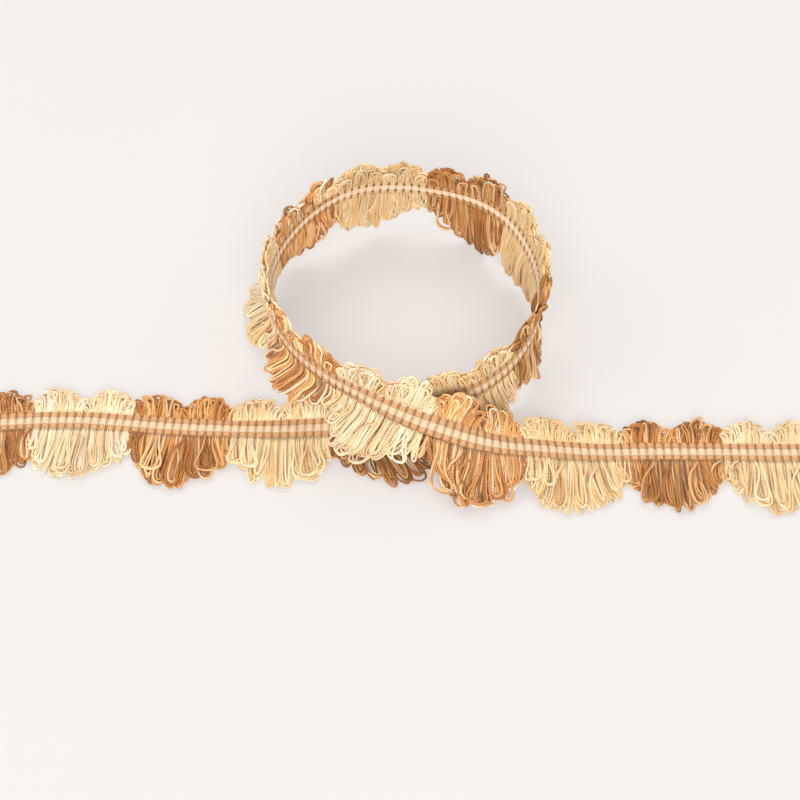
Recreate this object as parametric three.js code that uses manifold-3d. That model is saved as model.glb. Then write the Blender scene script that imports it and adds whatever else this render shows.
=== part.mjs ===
// Fan edge trim: a woven heading with looped yarn fans on one edge and short scallops on the other.
// The length lies flat at both ends and crosses itself once, so its middle stands up in a ring.
// Millimetres, +Z up. +X runs to the right along the flat ends, the fans of the ends point to -Y.

import * as THREE from 'three';
import { mergeVertices } from 'three/addons/utils/BufferGeometryUtils.js';
import Module from 'manifold-3d';

const wasm = await Module();
wasm.setup();

// Driving dimensions of the braid
const RIB_PITCH = 3.2;
const RIBS_PER_FAN = 12;
const FAN_PITCH = RIB_PITCH * RIBS_PER_FAN;
const HEADING_WIDTH = 10.2;
const HEADING_THICKNESS = 2.0;
const CREAM_BAND_START = -1.3;
const CREAM_BAND_END = 2.0;
const CREAM_BAND_RISE = 0.4;
const RIB_RISE = 0.35;
const EDGE_GAP = 0.3;

// Driving dimensions of the looped yarn, measured from the middle of the heading
const FAN_REACH = 30.2;
const FAN_NOTCH_REACH = 14.5;
const SCALLOP_REACH = 13.0;
const SCALLOP_NOTCH_REACH = 8.2;
const BACKING_WIDTH = 1.2;
const BACKING_STOPS = 4;
const LOCK_THICKNESS = 1.6;
const LOCKS_PER_FAN = 8;
const LOCKS_PER_SCALLOP = 6;
const SCALLOPS_PER_FAN = 2;
const FAN_LOCK_WIDTHS = [2.9, 3.9, 3.5, 2.4];
const SCALLOP_LOCK_WIDTHS = [4.4, 5.5, 3.3];
const BULGE_POWER = 0.8;
const UNEVEN_REACH = 0.07;
const UNEVEN_TURN_BY_FAN = 2.7;
const UNEVEN_TURN_BY_LOCK = 2.1;
const FLOOR_SPLAY = 0.5;
const LOCK_ROOT = HEADING_WIDTH / 2 + EDGE_GAP + BACKING_WIDTH / 2;
const LOCK_ROOT_HEIGHT = (LOCK_THICKNESS - HEADING_THICKNESS) / 2;

// Where the left end's first fan starts
const START_X = -170.1;
const START_Y = -34.0;

// How the length lies, in one row for each end of a fan from left to right:
// course: the way it runs, in degrees counter-clockwise from +X, seen from above
// lift: height of the heading's middle
// lean: the heading's tilt across its width, 0 flat and face up, 90 standing with its fans down
// drop: the same angle for the fans, which hang more or less steeply than the heading
// comb: how far the fans are brushed back along the length, for each unit of their own length
// rest: height of the surface that the fans' tips come to rest on
const COURSE = [
  { course: 9, lift: 1.0, lean: 0, drop: 0, comb: 0, rest: 0 },
  { course: 3, lift: 1.0, lean: 0, drop: 0, comb: 0, rest: 0 },
  { course: -6, lift: 1.0, lean: 0, drop: 0, comb: 0, rest: 0 },
  { course: -2, lift: 1.0, lean: 0, drop: 0, comb: 0, rest: 0 },
  { course: -2, lift: 4.0, lean: 12, drop: 14, comb: 0, rest: 0 },
  { course: 4, lift: 16.5, lean: 88, drop: 74, comb: 0, rest: 0 },
  { course: 50, lift: 24.5, lean: 88, drop: 85, comb: 0, rest: 0 },
  { course: 91, lift: 28.5, lean: 100, drop: 80, comb: 0.1, rest: 0 },
  { course: 127, lift: 31.0, lean: 96, drop: 95, comb: 0, rest: 0 },
  { course: 168, lift: 28.0, lean: 80, drop: 85, comb: 0, rest: 0 },
  { course: 215, lift: 30.5, lean: 84, drop: 90, comb: 0, rest: 0 },
  { course: 250, lift: 29.0, lean: 92, drop: 65, comb: 0.2, rest: 0 },
  { course: 291, lift: 29.5, lean: 94, drop: 70, comb: 0.5, rest: 0 },
  { course: 327, lift: 28.0, lean: 90, drop: 62, comb: 0.2, rest: 5 },
  { course: 347, lift: 20.0, lean: 48, drop: 60, comb: -0.1, rest: 5 },
  { course: 366, lift: 7.5, lean: 4, drop: 20, comb: 0, rest: 0 },
  { course: 362, lift: 1.0, lean: 0, drop: 0, comb: 0, rest: 0 },
  { course: 359, lift: 1.0, lean: 0, drop: 0, comb: 0, rest: 0 },
  { course: 361, lift: 1.0, lean: 0, drop: 0, comb: 0, rest: 0 },
];
const FAN_COUNT = COURSE.length - 1;
const STEPS_PER_FAN = RIBS_PER_FAN * 2;
const STEP = FAN_PITCH / STEPS_PER_FAN;

const CREAM_YARN = new THREE.MeshStandardMaterial({ color: '#e9d3a2', roughness: 0.8, metalness: 0 });
const CARAMEL_YARN = new THREE.MeshStandardMaterial({ color: '#b07c4a', roughness: 0.8, metalness: 0 });
const HEADING_YARN = new THREE.MeshStandardMaterial({ color: '#cfa984', roughness: 0.85, metalness: 0 });

// A table column at any place along the length, in fans, smooth and without overshoot
function columnAt(name, place) {
  const fan = Math.min(Math.max(Math.floor(place), 0), FAN_COUNT - 1);
  const t = place - fan;
  const change = (k) => COURSE[k + 1][name] - COURSE[k][name];
  const slope = (k) => {
    if (k <= 0 || k >= FAN_COUNT) {
      return 0;
    }
    const before = change(k - 1);
    const after = change(k);
    return before * after > 0 ? (2 * before * after) / (before + after) : 0;
  };
  const ease = t * t * (3 - 2 * t);
  const leave = slope(fan) * t * (1 - t) ** 2;
  const arrive = slope(fan + 1) * t * t * (1 - t);
  return COURSE[fan][name] + change(fan) * ease + leave - arrive;
}

// Heading's middle line: equal steps along the length, so that it keeps its true length
function middleLine() {
  const points = [];
  const total = FAN_COUNT * STEPS_PER_FAN;
  let x = START_X;
  let y = START_Y;
  const velocity = (index) => {
    const place = index / STEPS_PER_FAN;
    const near = 0.5 / STEPS_PER_FAN;
    const low = Math.max(place - near, 0);
    const high = Math.min(place + near, FAN_COUNT);
    const climb = (columnAt('lift', high) - columnAt('lift', low)) / ((high - low) * FAN_PITCH);
    const level = Math.sqrt(1 - climb * climb);
    const course = THREE.MathUtils.degToRad(columnAt('course', place));
    return new THREE.Vector3(level * Math.cos(course), level * Math.sin(course), climb);
  };
  for (let index = 0; index <= total; index += 1) {
    const along = velocity(index).normalize();
    points.push({ middle: new THREE.Vector3(x, y, columnAt('lift', index / STEPS_PER_FAN)), along });
    if (index < total) {
      const next = velocity(index + 1);
      const here = velocity(index);
      x += ((here.x + next.x) / 2) * STEP;
      y += ((here.y + next.y) / 2) * STEP;
    }
  }
  return points;
}
const MIDDLE_LINE = middleLine();

// Middle point and directions at any place along the length, in fans
function frameAt(place) {
  const index = Math.min(place * STEPS_PER_FAN, MIDDLE_LINE.length - 1);
  const low = Math.min(Math.floor(index), MIDDLE_LINE.length - 2);
  const t = index - low;
  const middle = MIDDLE_LINE[low].middle.clone().lerp(MIDDLE_LINE[low + 1].middle, t);
  const along = MIDDLE_LINE[low].along.clone().lerp(MIDDLE_LINE[low + 1].along, t).normalize();
  const outward = new THREE.Vector3(along.y, -along.x, 0).normalize();
  const upward = new THREE.Vector3().crossVectors(outward, along);
  return { middle, along, outward, upward };
}

// Direction from the scallop edge towards the fan edge, at a tilt in degrees
function acrossAt(frame, tilt) {
  const angle = THREE.MathUtils.degToRad(tilt);
  return frame.outward.clone().multiplyScalar(Math.cos(angle)).addScaledVector(frame.upward, -Math.sin(angle));
}

// A point at a distance across the heading and a height off its middle plane
function headingPoint(place, across, height) {
  const frame = frameAt(place);
  const side = acrossAt(frame, columnAt('lean', place));
  const face = new THREE.Vector3().crossVectors(side, frame.along);
  return frame.middle.clone().addScaledVector(side, across).addScaledVector(face, height);
}

// A closed body through a row of equal outlines, with a flat cap at each end
function sweptGeometry(outlines) {
  const corners = outlines[0].length;
  const positions = outlines.flat().flatMap((point) => [point.x, point.y, point.z]);
  const faces = [];
  for (let row = 0; row + 1 < outlines.length; row += 1) {
    for (let corner = 0; corner < corners; corner += 1) {
      const next = (corner + 1) % corners;
      const a = row * corners + corner;
      const b = row * corners + next;
      faces.push(a, b, b + corners, a, b + corners, a + corners);
    }
  }
  const last = (outlines.length - 1) * corners;
  for (let corner = 1; corner + 1 < corners; corner += 1) {
    faces.push(0, corner + 1, corner, last, last + corner, last + corner + 1);
  }
  const geometry = new THREE.BufferGeometry();
  geometry.setAttribute('position', new THREE.Float32BufferAttribute(positions, 3));
  geometry.setIndex(faces);
  return geometry;
}

function solidFrom(geometry) {
  const merged = mergeVertices(geometry, 1e-4);
  return new wasm.Manifold(new wasm.Mesh({
    numProp: 3,
    vertProperties: new Float32Array(merged.attributes.position.array),
    triVerts: new Uint32Array(merged.index.array),
  }));
}

function geometryFrom(solid) {
  const mesh = solid.getMesh();
  const geometry = new THREE.BufferGeometry();
  geometry.setAttribute('position', new THREE.BufferAttribute(new Float32Array(mesh.vertProperties), 3));
  geometry.setIndex(new THREE.BufferAttribute(new Uint32Array(mesh.triVerts), 1));
  return geometry;
}

// Heading: flat underside, two low tan bands and a raised cream band, ribbed along its length
function headingGeometry() {
  const half = HEADING_WIDTH / 2;
  const underside = -HEADING_THICKNESS / 2;
  const tanFace = HEADING_THICKNESS / 2 - CREAM_BAND_RISE;
  const outlines = MIDDLE_LINE.map((unused, index) => {
    const place = index / STEPS_PER_FAN;
    const rib = index % 2 === 0 ? 0 : RIB_RISE;
    const section = [
      [-half, underside],
      [-half, tanFace + rib],
      [CREAM_BAND_START, HEADING_THICKNESS / 2 + rib],
      [CREAM_BAND_END, HEADING_THICKNESS / 2 + rib],
      [half, tanFace + rib],
      [half, underside],
    ];
    return section.map(([across, height]) => headingPoint(place, across, height));
  });
  return sweptGeometry(outlines);
}

// Backing strip beside one edge of the heading, for one fan's width
function backingGeometry(fan, side) {
  const inner = side * (HEADING_WIDTH / 2 + EDGE_GAP);
  const outer = inner + side * BACKING_WIDTH;
  const low = -HEADING_THICKNESS / 2;
  const high = HEADING_THICKNESS / 2;
  const margin = EDGE_GAP / FAN_PITCH;
  const outlines = [];
  for (let stop = 0; stop <= BACKING_STOPS; stop += 1) {
    const place = fan + margin + (1 - 2 * margin) * (stop / BACKING_STOPS);
    const section = side > 0
      ? [[inner, low], [inner, high], [outer, high], [outer, low]]
      : [[outer, low], [outer, high], [inner, high], [inner, low]];
    outlines.push(section.map(([across, height]) => headingPoint(place, across, height)));
  }
  return sweptGeometry(outlines);
}

// A lock's outline where it lies along the heading's own surface: three corners, flat side down
function rootOutline(place, across, width) {
  const half = width / 2 / FAN_PITCH;
  const side = Math.sign(across);
  return [
    headingPoint(place - side * half, across, LOCK_ROOT_HEIGHT - LOCK_THICKNESS / 2),
    headingPoint(place + side * half, across, LOCK_ROOT_HEIGHT - LOCK_THICKNESS / 2),
    headingPoint(place, across, LOCK_ROOT_HEIGHT + LOCK_THICKNESS / 2),
  ];
}

// A lock's outline away from the heading, across its run
function strandOutline(point, run, wide, width) {
  const thick = new THREE.Vector3().crossVectors(run, wide).normalize();
  const corner = (sideways, height) => point.clone().addScaledVector(wide, sideways).addScaledVector(thick, height);
  return [
    corner(-width / 2, -LOCK_THICKNESS / 2),
    corner(width / 2, -LOCK_THICKNESS / 2),
    corner(0, LOCK_THICKNESS / 2),
  ];
}

// Reach of a yarn group at a fraction of its width: long in the middle, short at the notches
function bulge(notch, reach, fraction) {
  return notch + (reach - notch) * Math.sin(Math.PI * fraction) ** BULGE_POWER;
}

// Repeating unevenness of the looped yarn, between -1 and 1
function uneven(fan, lock) {
  return Math.sin(fan * UNEVEN_TURN_BY_FAN + lock * UNEVEN_TURN_BY_LOCK);
}

// Fan lock: leaves the heading at its lean, hangs at the fan's drop and then lies on what is below
function fanLock(fan, lock) {
  const fraction = (lock + 0.5) / LOCKS_PER_FAN;
  const place = fan + fraction;
  const frame = frameAt(place);
  const reach = bulge(FAN_NOTCH_REACH, FAN_REACH, fraction) * (1 + UNEVEN_REACH * uneven(fan, lock));
  const stride = (reach - LOCK_ROOT) / (FAN_LOCK_WIDTHS.length - 1);
  const comb = columnAt('comb', place);
  const hang = acrossAt(frame, columnAt('drop', place))
    .multiplyScalar(Math.sqrt(1 - comb * comb))
    .addScaledVector(frame.along, -comb);
  const floor = columnAt('rest', place) + LOCK_THICKNESS / 2;
  const levelAlong = frame.along.clone().setZ(0).normalize();
  const outlines = [rootOutline(place, LOCK_ROOT, FAN_LOCK_WIDTHS[0])];
  let last = headingPoint(place, LOCK_ROOT, LOCK_ROOT_HEIGHT);
  for (const width of FAN_LOCK_WIDTHS.slice(1)) {
    const free = last.clone().addScaledVector(hang, stride);
    const sag = (width / 2) * Math.abs(frame.along.z);
    if (free.z - sag > floor) {
      outlines.push(strandOutline(free, hang, frame.along, width));
      last = free;
    } else {
      const fall = Math.min(Math.max(last.z - floor, 0), stride);
      const level = hang.clone().setZ(0).addScaledVector(frame.outward, FLOOR_SPLAY).normalize();
      last = last.clone().addScaledVector(level, Math.sqrt(stride ** 2 - fall ** 2)).setZ(last.z - fall);
      outlines.push(strandOutline(last, level, levelAlong, width));
    }
  }
  return sweptGeometry(outlines);
}

// Scallop lock: a short strand that goes on from the heading's upper edge
function scallopLock(fan, lock) {
  const fraction = (lock + 0.5) / LOCKS_PER_SCALLOP;
  const within = (fraction * SCALLOPS_PER_FAN) % 1;
  const reach = bulge(SCALLOP_NOTCH_REACH, SCALLOP_REACH, within) * (1 + UNEVEN_REACH * uneven(fan, lock));
  const stride = (reach - LOCK_ROOT) / (SCALLOP_LOCK_WIDTHS.length - 1);
  const outlines = SCALLOP_LOCK_WIDTHS.map(
    (width, step) => rootOutline(fan + fraction, -(LOCK_ROOT + step * stride), width),
  );
  return sweptGeometry(outlines);
}

// One group of yarn: its backing strip with its locks fused on at their roots
function yarnGroup(fan, side, lockCount, makeLock) {
  let body = solidFrom(backingGeometry(fan, side));
  for (let lock = 0; lock < lockCount; lock += 1) {
    body = body.add(solidFrom(makeLock(fan, lock)));
  }
  return geometryFrom(body);
}

function addMesh(group, name, geometry, material) {
  const mesh = new THREE.Mesh(geometry, material);
  mesh.name = name;
  group.add(mesh);
}

const group = new THREE.Group();
addMesh(group, 'heading', headingGeometry(), HEADING_YARN);
for (let fan = 0; fan < FAN_COUNT; fan += 1) {
  const number = String(fan + 1).padStart(2, '0');
  const yarn = fan % 2 === 0 ? CARAMEL_YARN : CREAM_YARN;
  addMesh(group, `fan_${number}`, yarnGroup(fan, 1, LOCKS_PER_FAN, fanLock), yarn);
  addMesh(group, `scallop_${number}`, yarnGroup(fan, -1, LOCKS_PER_SCALLOP, scallopLock), yarn);
}

export default group;
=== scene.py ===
import math

import bpy
import numpy as np
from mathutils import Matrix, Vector


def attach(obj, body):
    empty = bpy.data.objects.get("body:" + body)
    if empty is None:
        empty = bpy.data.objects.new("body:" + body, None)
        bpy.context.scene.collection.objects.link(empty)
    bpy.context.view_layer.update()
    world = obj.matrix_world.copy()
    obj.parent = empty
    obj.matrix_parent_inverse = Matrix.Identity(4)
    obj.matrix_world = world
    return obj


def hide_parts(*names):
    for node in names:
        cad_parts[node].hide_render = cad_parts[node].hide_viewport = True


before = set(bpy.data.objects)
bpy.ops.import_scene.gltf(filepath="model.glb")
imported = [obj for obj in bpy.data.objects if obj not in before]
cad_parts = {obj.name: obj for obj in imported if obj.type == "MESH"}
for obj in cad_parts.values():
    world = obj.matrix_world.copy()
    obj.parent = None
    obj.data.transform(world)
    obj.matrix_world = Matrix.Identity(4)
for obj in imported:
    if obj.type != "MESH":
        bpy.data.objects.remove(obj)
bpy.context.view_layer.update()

# Sizes of the braid, in metres
MM = 0.001
RIB_PITCH = 3.2 * MM
RIBS_PER_FAN = 12
FAN_PITCH = RIB_PITCH * RIBS_PER_FAN
HEADING_WIDTH = 10.2 * MM
CREAM_BAND_START = -0.8 * MM
CREAM_BAND_END = 2.4 * MM
YARN_RADIUS = 0.43 * MM
# How thick single yarns are, and the thickest point of any, beside the common radius
RADIUS_SPREAD = (0.85, 1.12)
THICKEST = 1.27

# Where the left end's first fan starts
START_X = -170.1 * MM
START_Y = -34.0 * MM

# How the length lies, in one row for each end of a fan from left to right:
# course: the way it runs, in degrees counter-clockwise from +X, seen from above
# lift: height of the heading's middle, in millimetres
# lean: the heading's tilt across its width, 0 flat and face up, 90 standing with its fans down
# drop: the same angle for the fans, which hang more or less steeply than the heading
# comb: how far the fans are brushed back along the length, for each unit of their own length
# rest: height of the surface that the fans' tips come to rest on, in millimetres
COLUMNS = ("course", "lift", "lean", "drop", "comb", "rest")
COURSE = np.array([
    (9, 1.0, 0, 0, 0, 0),
    (3, 1.0, 0, 0, 0, 0),
    (-6, 1.0, 0, 0, 0, 0),
    (-2, 1.0, 0, 0, 0, 0),
    (-2, 4.0, 12, 14, 0, 0),
    (4, 16.5, 88, 74, 0, 0),
    (50, 24.5, 88, 85, 0, 0),
    (91, 28.5, 100, 80, 0.1, 0),
    (127, 31.0, 96, 95, 0, 0),
    (168, 28.0, 80, 85, 0, 0),
    (215, 30.5, 84, 90, 0, 0),
    (250, 29.0, 92, 48, 0.32, 0),
    (291, 29.5, 94, 66, 0.5, 0),
    (327, 28.0, 90, 62, 0.5, 5),
    (347, 20.0, 48, 60, 0, 5),
    (366, 7.5, 4, 20, 0, 0),
    (362, 1.0, 0, 0, 0, 0),
    (359, 1.0, 0, 0, 0, 0),
    (361, 1.0, 0, 0, 0, 0),
])
FAN_COUNT = len(COURSE) - 1
STEPS_PER_FAN = RIBS_PER_FAN * 2

# Looped yarn, measured from the middle of the heading
FAN_REACH = 30.2 * MM
FAN_NOTCH_REACH = 13.5 * MM
SCALLOP_REACH = 14.3 * MM
SCALLOP_NOTCH_REACH = 6.2 * MM
# Where the fans' and the scallops' yarn leaves the heading's face
FAN_ROOT = HEADING_WIDTH / 2 - 0.6 * MM
SCALLOP_ROOT = HEADING_WIDTH / 2 - 1.7 * MM

# Yarn colours, linear, with how often each is drawn
CREAM_YARNS = [
    ((0.92, 0.70, 0.43), 6),
    ((0.94, 0.77, 0.55), 5),
    ((0.89, 0.61, 0.32), 4),
    ((0.82, 0.50, 0.23), 1),
]
CARAMEL_YARNS = [
    ((0.62, 0.30, 0.10), 4),
    ((0.50, 0.21, 0.06), 4),
    ((0.74, 0.43, 0.19), 4),
    ((0.35, 0.145, 0.05), 3),
    ((0.85, 0.62, 0.38), 2),
]
# How light single yarns are beside their colour, and the lightest that any may be, by channel
CREAM_SPREAD = (0.9, 1.08)
CARAMEL_SPREAD = (0.84, 1.12)
LIGHTEST = (0.95, 0.84, 0.62)


def column(name, place):
    """A table column along the length, in fans, smooth and without overshoot."""
    values = COURSE[:, COLUMNS.index(name)]
    change = np.diff(values)
    slope = np.zeros(len(values))
    before, after = change[:-1], change[1:]
    same_way = before * after > 0
    slope[1:-1][same_way] = 2 * before[same_way] * after[same_way] / (before + after)[same_way]
    place = np.asarray(place, float)
    fan = np.clip(np.floor(place).astype(int), 0, FAN_COUNT - 1)
    t = place - fan
    ease = t * t * (3 - 2 * t)
    leave = slope[fan] * t * (1 - t) ** 2
    arrive = slope[fan + 1] * t * t * (1 - t)
    return values[fan] + change[fan] * ease + leave - arrive


def unit(vectors):
    """The vectors' directions, each of length 1."""
    return vectors / np.linalg.norm(vectors, axis=-1, keepdims=True)


def middle_line():
    """The heading's middle and its direction, in equal steps along the length."""
    total = FAN_COUNT * STEPS_PER_FAN
    place = np.arange(total + 1) / STEPS_PER_FAN
    near = 0.5 / STEPS_PER_FAN
    low = np.maximum(place - near, 0)
    high = np.minimum(place + near, FAN_COUNT)
    climb = (column("lift", high) - column("lift", low)) * MM / ((high - low) * FAN_PITCH)
    level = np.sqrt(1 - climb ** 2)
    course = np.radians(column("course", place))
    velocity = np.stack([level * np.cos(course), level * np.sin(course), climb], -1)
    step = FAN_PITCH / STEPS_PER_FAN
    strides = (velocity[1:, :2] + velocity[:-1, :2]) / 2 * step
    middle = np.zeros((total + 1, 3))
    middle[0, :2] = START_X, START_Y
    middle[1:, :2] = middle[0, :2] + np.cumsum(strides, 0)
    middle[:, 2] = column("lift", place) * MM
    return middle, unit(velocity)


MIDDLE, ALONG = middle_line()


def frame_at(place):
    """Middle point and the directions along, level outwards and upward, at each place in fans."""
    index = np.clip(np.asarray(place, float) * STEPS_PER_FAN, 0, len(MIDDLE) - 1)
    low = np.minimum(index.astype(int), len(MIDDLE) - 2)
    t = (index - low)[..., None]
    middle = MIDDLE[low] * (1 - t) + MIDDLE[low + 1] * t
    along = unit(ALONG[low] * (1 - t) + ALONG[low + 1] * t)
    outward = unit(np.stack([along[..., 1], -along[..., 0], np.zeros(along.shape[:-1])], -1))
    return middle, along, outward, np.cross(outward, along)


def across(outward, upward, tilt):
    """Direction from the scallop edge towards the fan edge, at a tilt in degrees."""
    angle = np.radians(tilt)[..., None]
    return np.cos(angle) * outward - np.sin(angle) * upward


def smooth(x):
    """A soft step: 0 below 0, 1 above 1 and smooth between them."""
    x = np.clip(x, 0, 1)
    return x * x * (3 - 2 * x)


# Drapes: the middle surface that each edge's yarn lies in, as a grid along and outwards
DRAPE_PER_RIB = 4
DRAPE_STEP = 0.75 * MM
# Over this length the yarn turns from the heading's tilt to its own
BEND_LENGTH = 8 * MM
# Below this height over its rest the yarn bends level, and how strongly it then turns outwards
FLOOR_BEND = 6 * MM
FLOOR_SPLAY = 0.5
# The least height over its rest at the yarn's root and past the rise after it
ROOT_BED = 1.0 * MM
YARN_BED = 1.4 * MM
BED_RISE = 4 * MM


def drape(side, root, reach):
    """Grid of points from the yarn's root outwards; side is 1 for fans, -1 for scallops."""
    per_fan = RIBS_PER_FAN * DRAPE_PER_RIB
    place = np.arange(FAN_COUNT * per_fan + 1) / per_fan
    middle, along, outward, upward = frame_at(place)
    lean, drop = column("lean", place), column("drop", place)
    comb, rest = column("comb", place), column("rest", place) * MM
    if side < 0:
        drop, comb, rest = lean, comb * 0, rest * 0
    point = middle + side * across(outward, upward, lean) * root
    rows = [point]
    cover = HEADING_WIDTH / 2 - root
    for step in range(int(math.ceil((reach - root) / DRAPE_STEP)) + 2):
        away = step * DRAPE_STEP
        turn = smooth(np.full(len(place), (away - cover) / BEND_LENGTH))
        brush = (comb * turn)[:, None]
        tilt = lean + (drop - lean) * turn
        free = side * across(outward, upward, tilt) * np.sqrt(1 - brush ** 2) - brush * along
        risen = smooth(np.full(len(place), away / BED_RISE))
        bed = rest + ROOT_BED + (YARN_BED - ROOT_BED) * risen
        spare = np.clip((point[:, 2] - bed) / FLOOR_BEND, 0, 2)
        steepest = -np.sqrt(1 - (1 - spare) ** 2)
        touching = (free[:, 2] < steepest) & (spare < 1)
        level = free * [1, 1, 0] + FLOOR_SPLAY * side * outward
        level = unit(level) * np.sqrt(1 - steepest ** 2)[:, None]
        level[:, 2] = steepest
        point = point + np.where(touching[:, None], level, free) * DRAPE_STEP
        point[:, 2] = np.maximum(point[:, 2], bed)
        rows.append(point)
    grid = np.stack(rows, 1)
    outwards = unit(np.gradient(grid, axis=1)) * side
    lengthways = unit(np.gradient(grid, axis=0))
    return grid, unit(np.cross(outwards, lengthways)), root


def on_drape(surface, along, away, height):
    """Points at distances along the length and out from the middle, and a height off the drape."""
    grid, face, root = surface
    u = np.clip(along / (RIB_PITCH / DRAPE_PER_RIB), 0, grid.shape[0] - 1.001)
    v = np.clip((away - root) / DRAPE_STEP, 0, grid.shape[1] - 1.001)
    i, j = u.astype(int), v.astype(int)
    a, b = (u - i)[..., None], (v - j)[..., None]

    def mix(field):
        near = field[i, j] * (1 - b) + field[i, j + 1] * b
        far = field[i + 1, j] * (1 - b) + field[i + 1, j + 1] * b
        return near * (1 - a) + far * a

    facing = unit(mix(face))
    points = mix(grid) + facing * height[..., None]
    points[..., 2] = np.maximum(points[..., 2], YARN_RADIUS * THICKEST)
    return points, facing


# Meshes
def mesh_object(name, points, faces, material, tint=None, uv=None):
    """A mesh from arrays: groups of faces with one size each, a colour and a uv for each point."""
    mesh = bpy.data.meshes.new(name)
    corners = np.concatenate([np.ravel(f) for f in faces]).astype(np.int32)
    sizes = np.concatenate([np.full(len(f), f.shape[1]) for f in faces]).astype(np.int32)
    mesh.vertices.add(len(points))
    mesh.vertices.foreach_set("co", np.ravel(points).astype(np.float32))
    mesh.loops.add(len(corners))
    mesh.loops.foreach_set("vertex_index", corners)
    mesh.polygons.add(len(sizes))
    starts = np.concatenate([[0], np.cumsum(sizes)[:-1]]).astype(np.int32)
    mesh.polygons.foreach_set("loop_start", starts)
    mesh.polygons.foreach_set("use_smooth", np.ones(len(sizes), bool))
    if tint is not None:
        layer = mesh.color_attributes.new("tint", "FLOAT_COLOR", "POINT")
        colours = np.c_[tint, np.ones(len(tint))]
        layer.data.foreach_set("color", np.ravel(colours).astype(np.float32))
    if uv is not None:
        layer = mesh.uv_layers.new(name="yarn")
        layer.data.foreach_set("uv", np.ravel(uv[corners]).astype(np.float32))
    mesh.materials.append(material)
    mesh.update(calc_edges=True)
    mesh.validate()
    piece = bpy.data.objects.new(name, mesh)
    bpy.context.scene.collection.objects.link(piece)
    return piece


TUBE_SIDES = 6
PLIES = 3
PLY_DEPTH = 0.13
PLY_TURNS_PER_METRE = 270
# How thick a yarn is at its two hidden ends, beside the rest of it
END_TAPER = 0.4


def tubes(paths, facing, radius, tints):
    """Yarns as closed tubes, from their paths (yarns, stops, 3) and facing directions.

    The radius and the tint have one value for each yarn. The uv runs round the yarn from 0 to 1
    and along it in millimetres.
    """
    count, stops = paths.shape[:2]
    run = unit(np.gradient(paths, axis=1))
    sideways = unit(np.cross(run, facing))
    lifted = np.cross(sideways, run)
    length = np.zeros((count, stops))
    length[:, 1:] = np.cumsum(np.linalg.norm(np.diff(paths, axis=1), axis=2), 1)
    turn = np.arange(TUBE_SIDES) / TUBE_SIDES * 2 * np.pi
    twist = length[..., None] * PLY_TURNS_PER_METRE * 2 * np.pi
    ply = 1 + PLY_DEPTH * np.cos(PLIES * (turn - twist))
    taper = np.ones(stops)
    taper[[0, -1]] = END_TAPER
    size = (radius[:, None] * taper)[..., None] * ply
    ring = np.cos(turn)[:, None] * sideways[:, :, None]
    ring = ring + np.sin(turn)[:, None] * lifted[:, :, None]
    points = paths[:, :, None] + ring * size[..., None]
    yarn = np.arange(count)[:, None, None] * stops * TUBE_SIDES
    stop = np.arange(stops - 1)[None, :, None] * TUBE_SIDES
    side = np.arange(TUBE_SIDES)[None, None, :]
    following = (side + 1) % TUBE_SIDES
    a, b = yarn + stop + side, yarn + stop + following
    walls = np.stack([a, b, b + TUBE_SIDES, a + TUBE_SIDES], -1).reshape(-1, 4)
    first = (yarn[:, 0] + np.arange(TUBE_SIDES)[::-1]).reshape(-1, TUBE_SIDES)
    last = (yarn[:, 0] + (stops - 1) * TUBE_SIDES + np.arange(TUBE_SIDES)).reshape(-1, TUBE_SIDES)
    tint = np.repeat(tints, stops * TUBE_SIDES, 0)
    around = np.broadcast_to(turn / (2 * np.pi), size.shape)
    lengthways = np.broadcast_to(length[..., None] / MM, size.shape)
    uv = np.stack([around, lengthways], -1).reshape(-1, 2)
    return points.reshape(-1, 3), walls, np.concatenate([first, last]), tint, uv


def yarn_tints(chance, palette, count, spread):
    """A palette colour for each yarn, a little lighter or darker than its neighbours."""
    colours = np.array([colour for colour, _ in palette])
    weights = np.array([weight for _, weight in palette], float)
    chosen = colours[chance.choice(len(colours), count, p=weights / weights.sum())]
    return np.clip(chosen * chance.uniform(*spread, (count, 1)), 0, 1)


# How far apart the yarns of a loop lie, where they leave the heading and further out
ROOT_SPACING = 0.72 * MM
LEG_SPACING = 0.7 * MM
# How much shorter each inner yarn of a loop is, and how much narrower, beside that spacing
NEST_SHORTER = 0.9
NEST_NARROWER = 0.5
# Brings the widest place of a loop to its half width
LOOP_BULB = 1.54
NARROWEST_LEAF = 0.12 * MM
# How single yarns differ from their loop: by a share of its half width and of its reach, and in
# millimetres by a wave along the yarn, at the tip and off the drape
LEAF_SPREAD = (0.75, 1.2)
REACH_SPREAD = (0.93, 1.03)
SWAY = 0.28
SWAY_WAVES = (0.5, 1.0)
STRAY = 0.45
LIFT = 0.12


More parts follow.
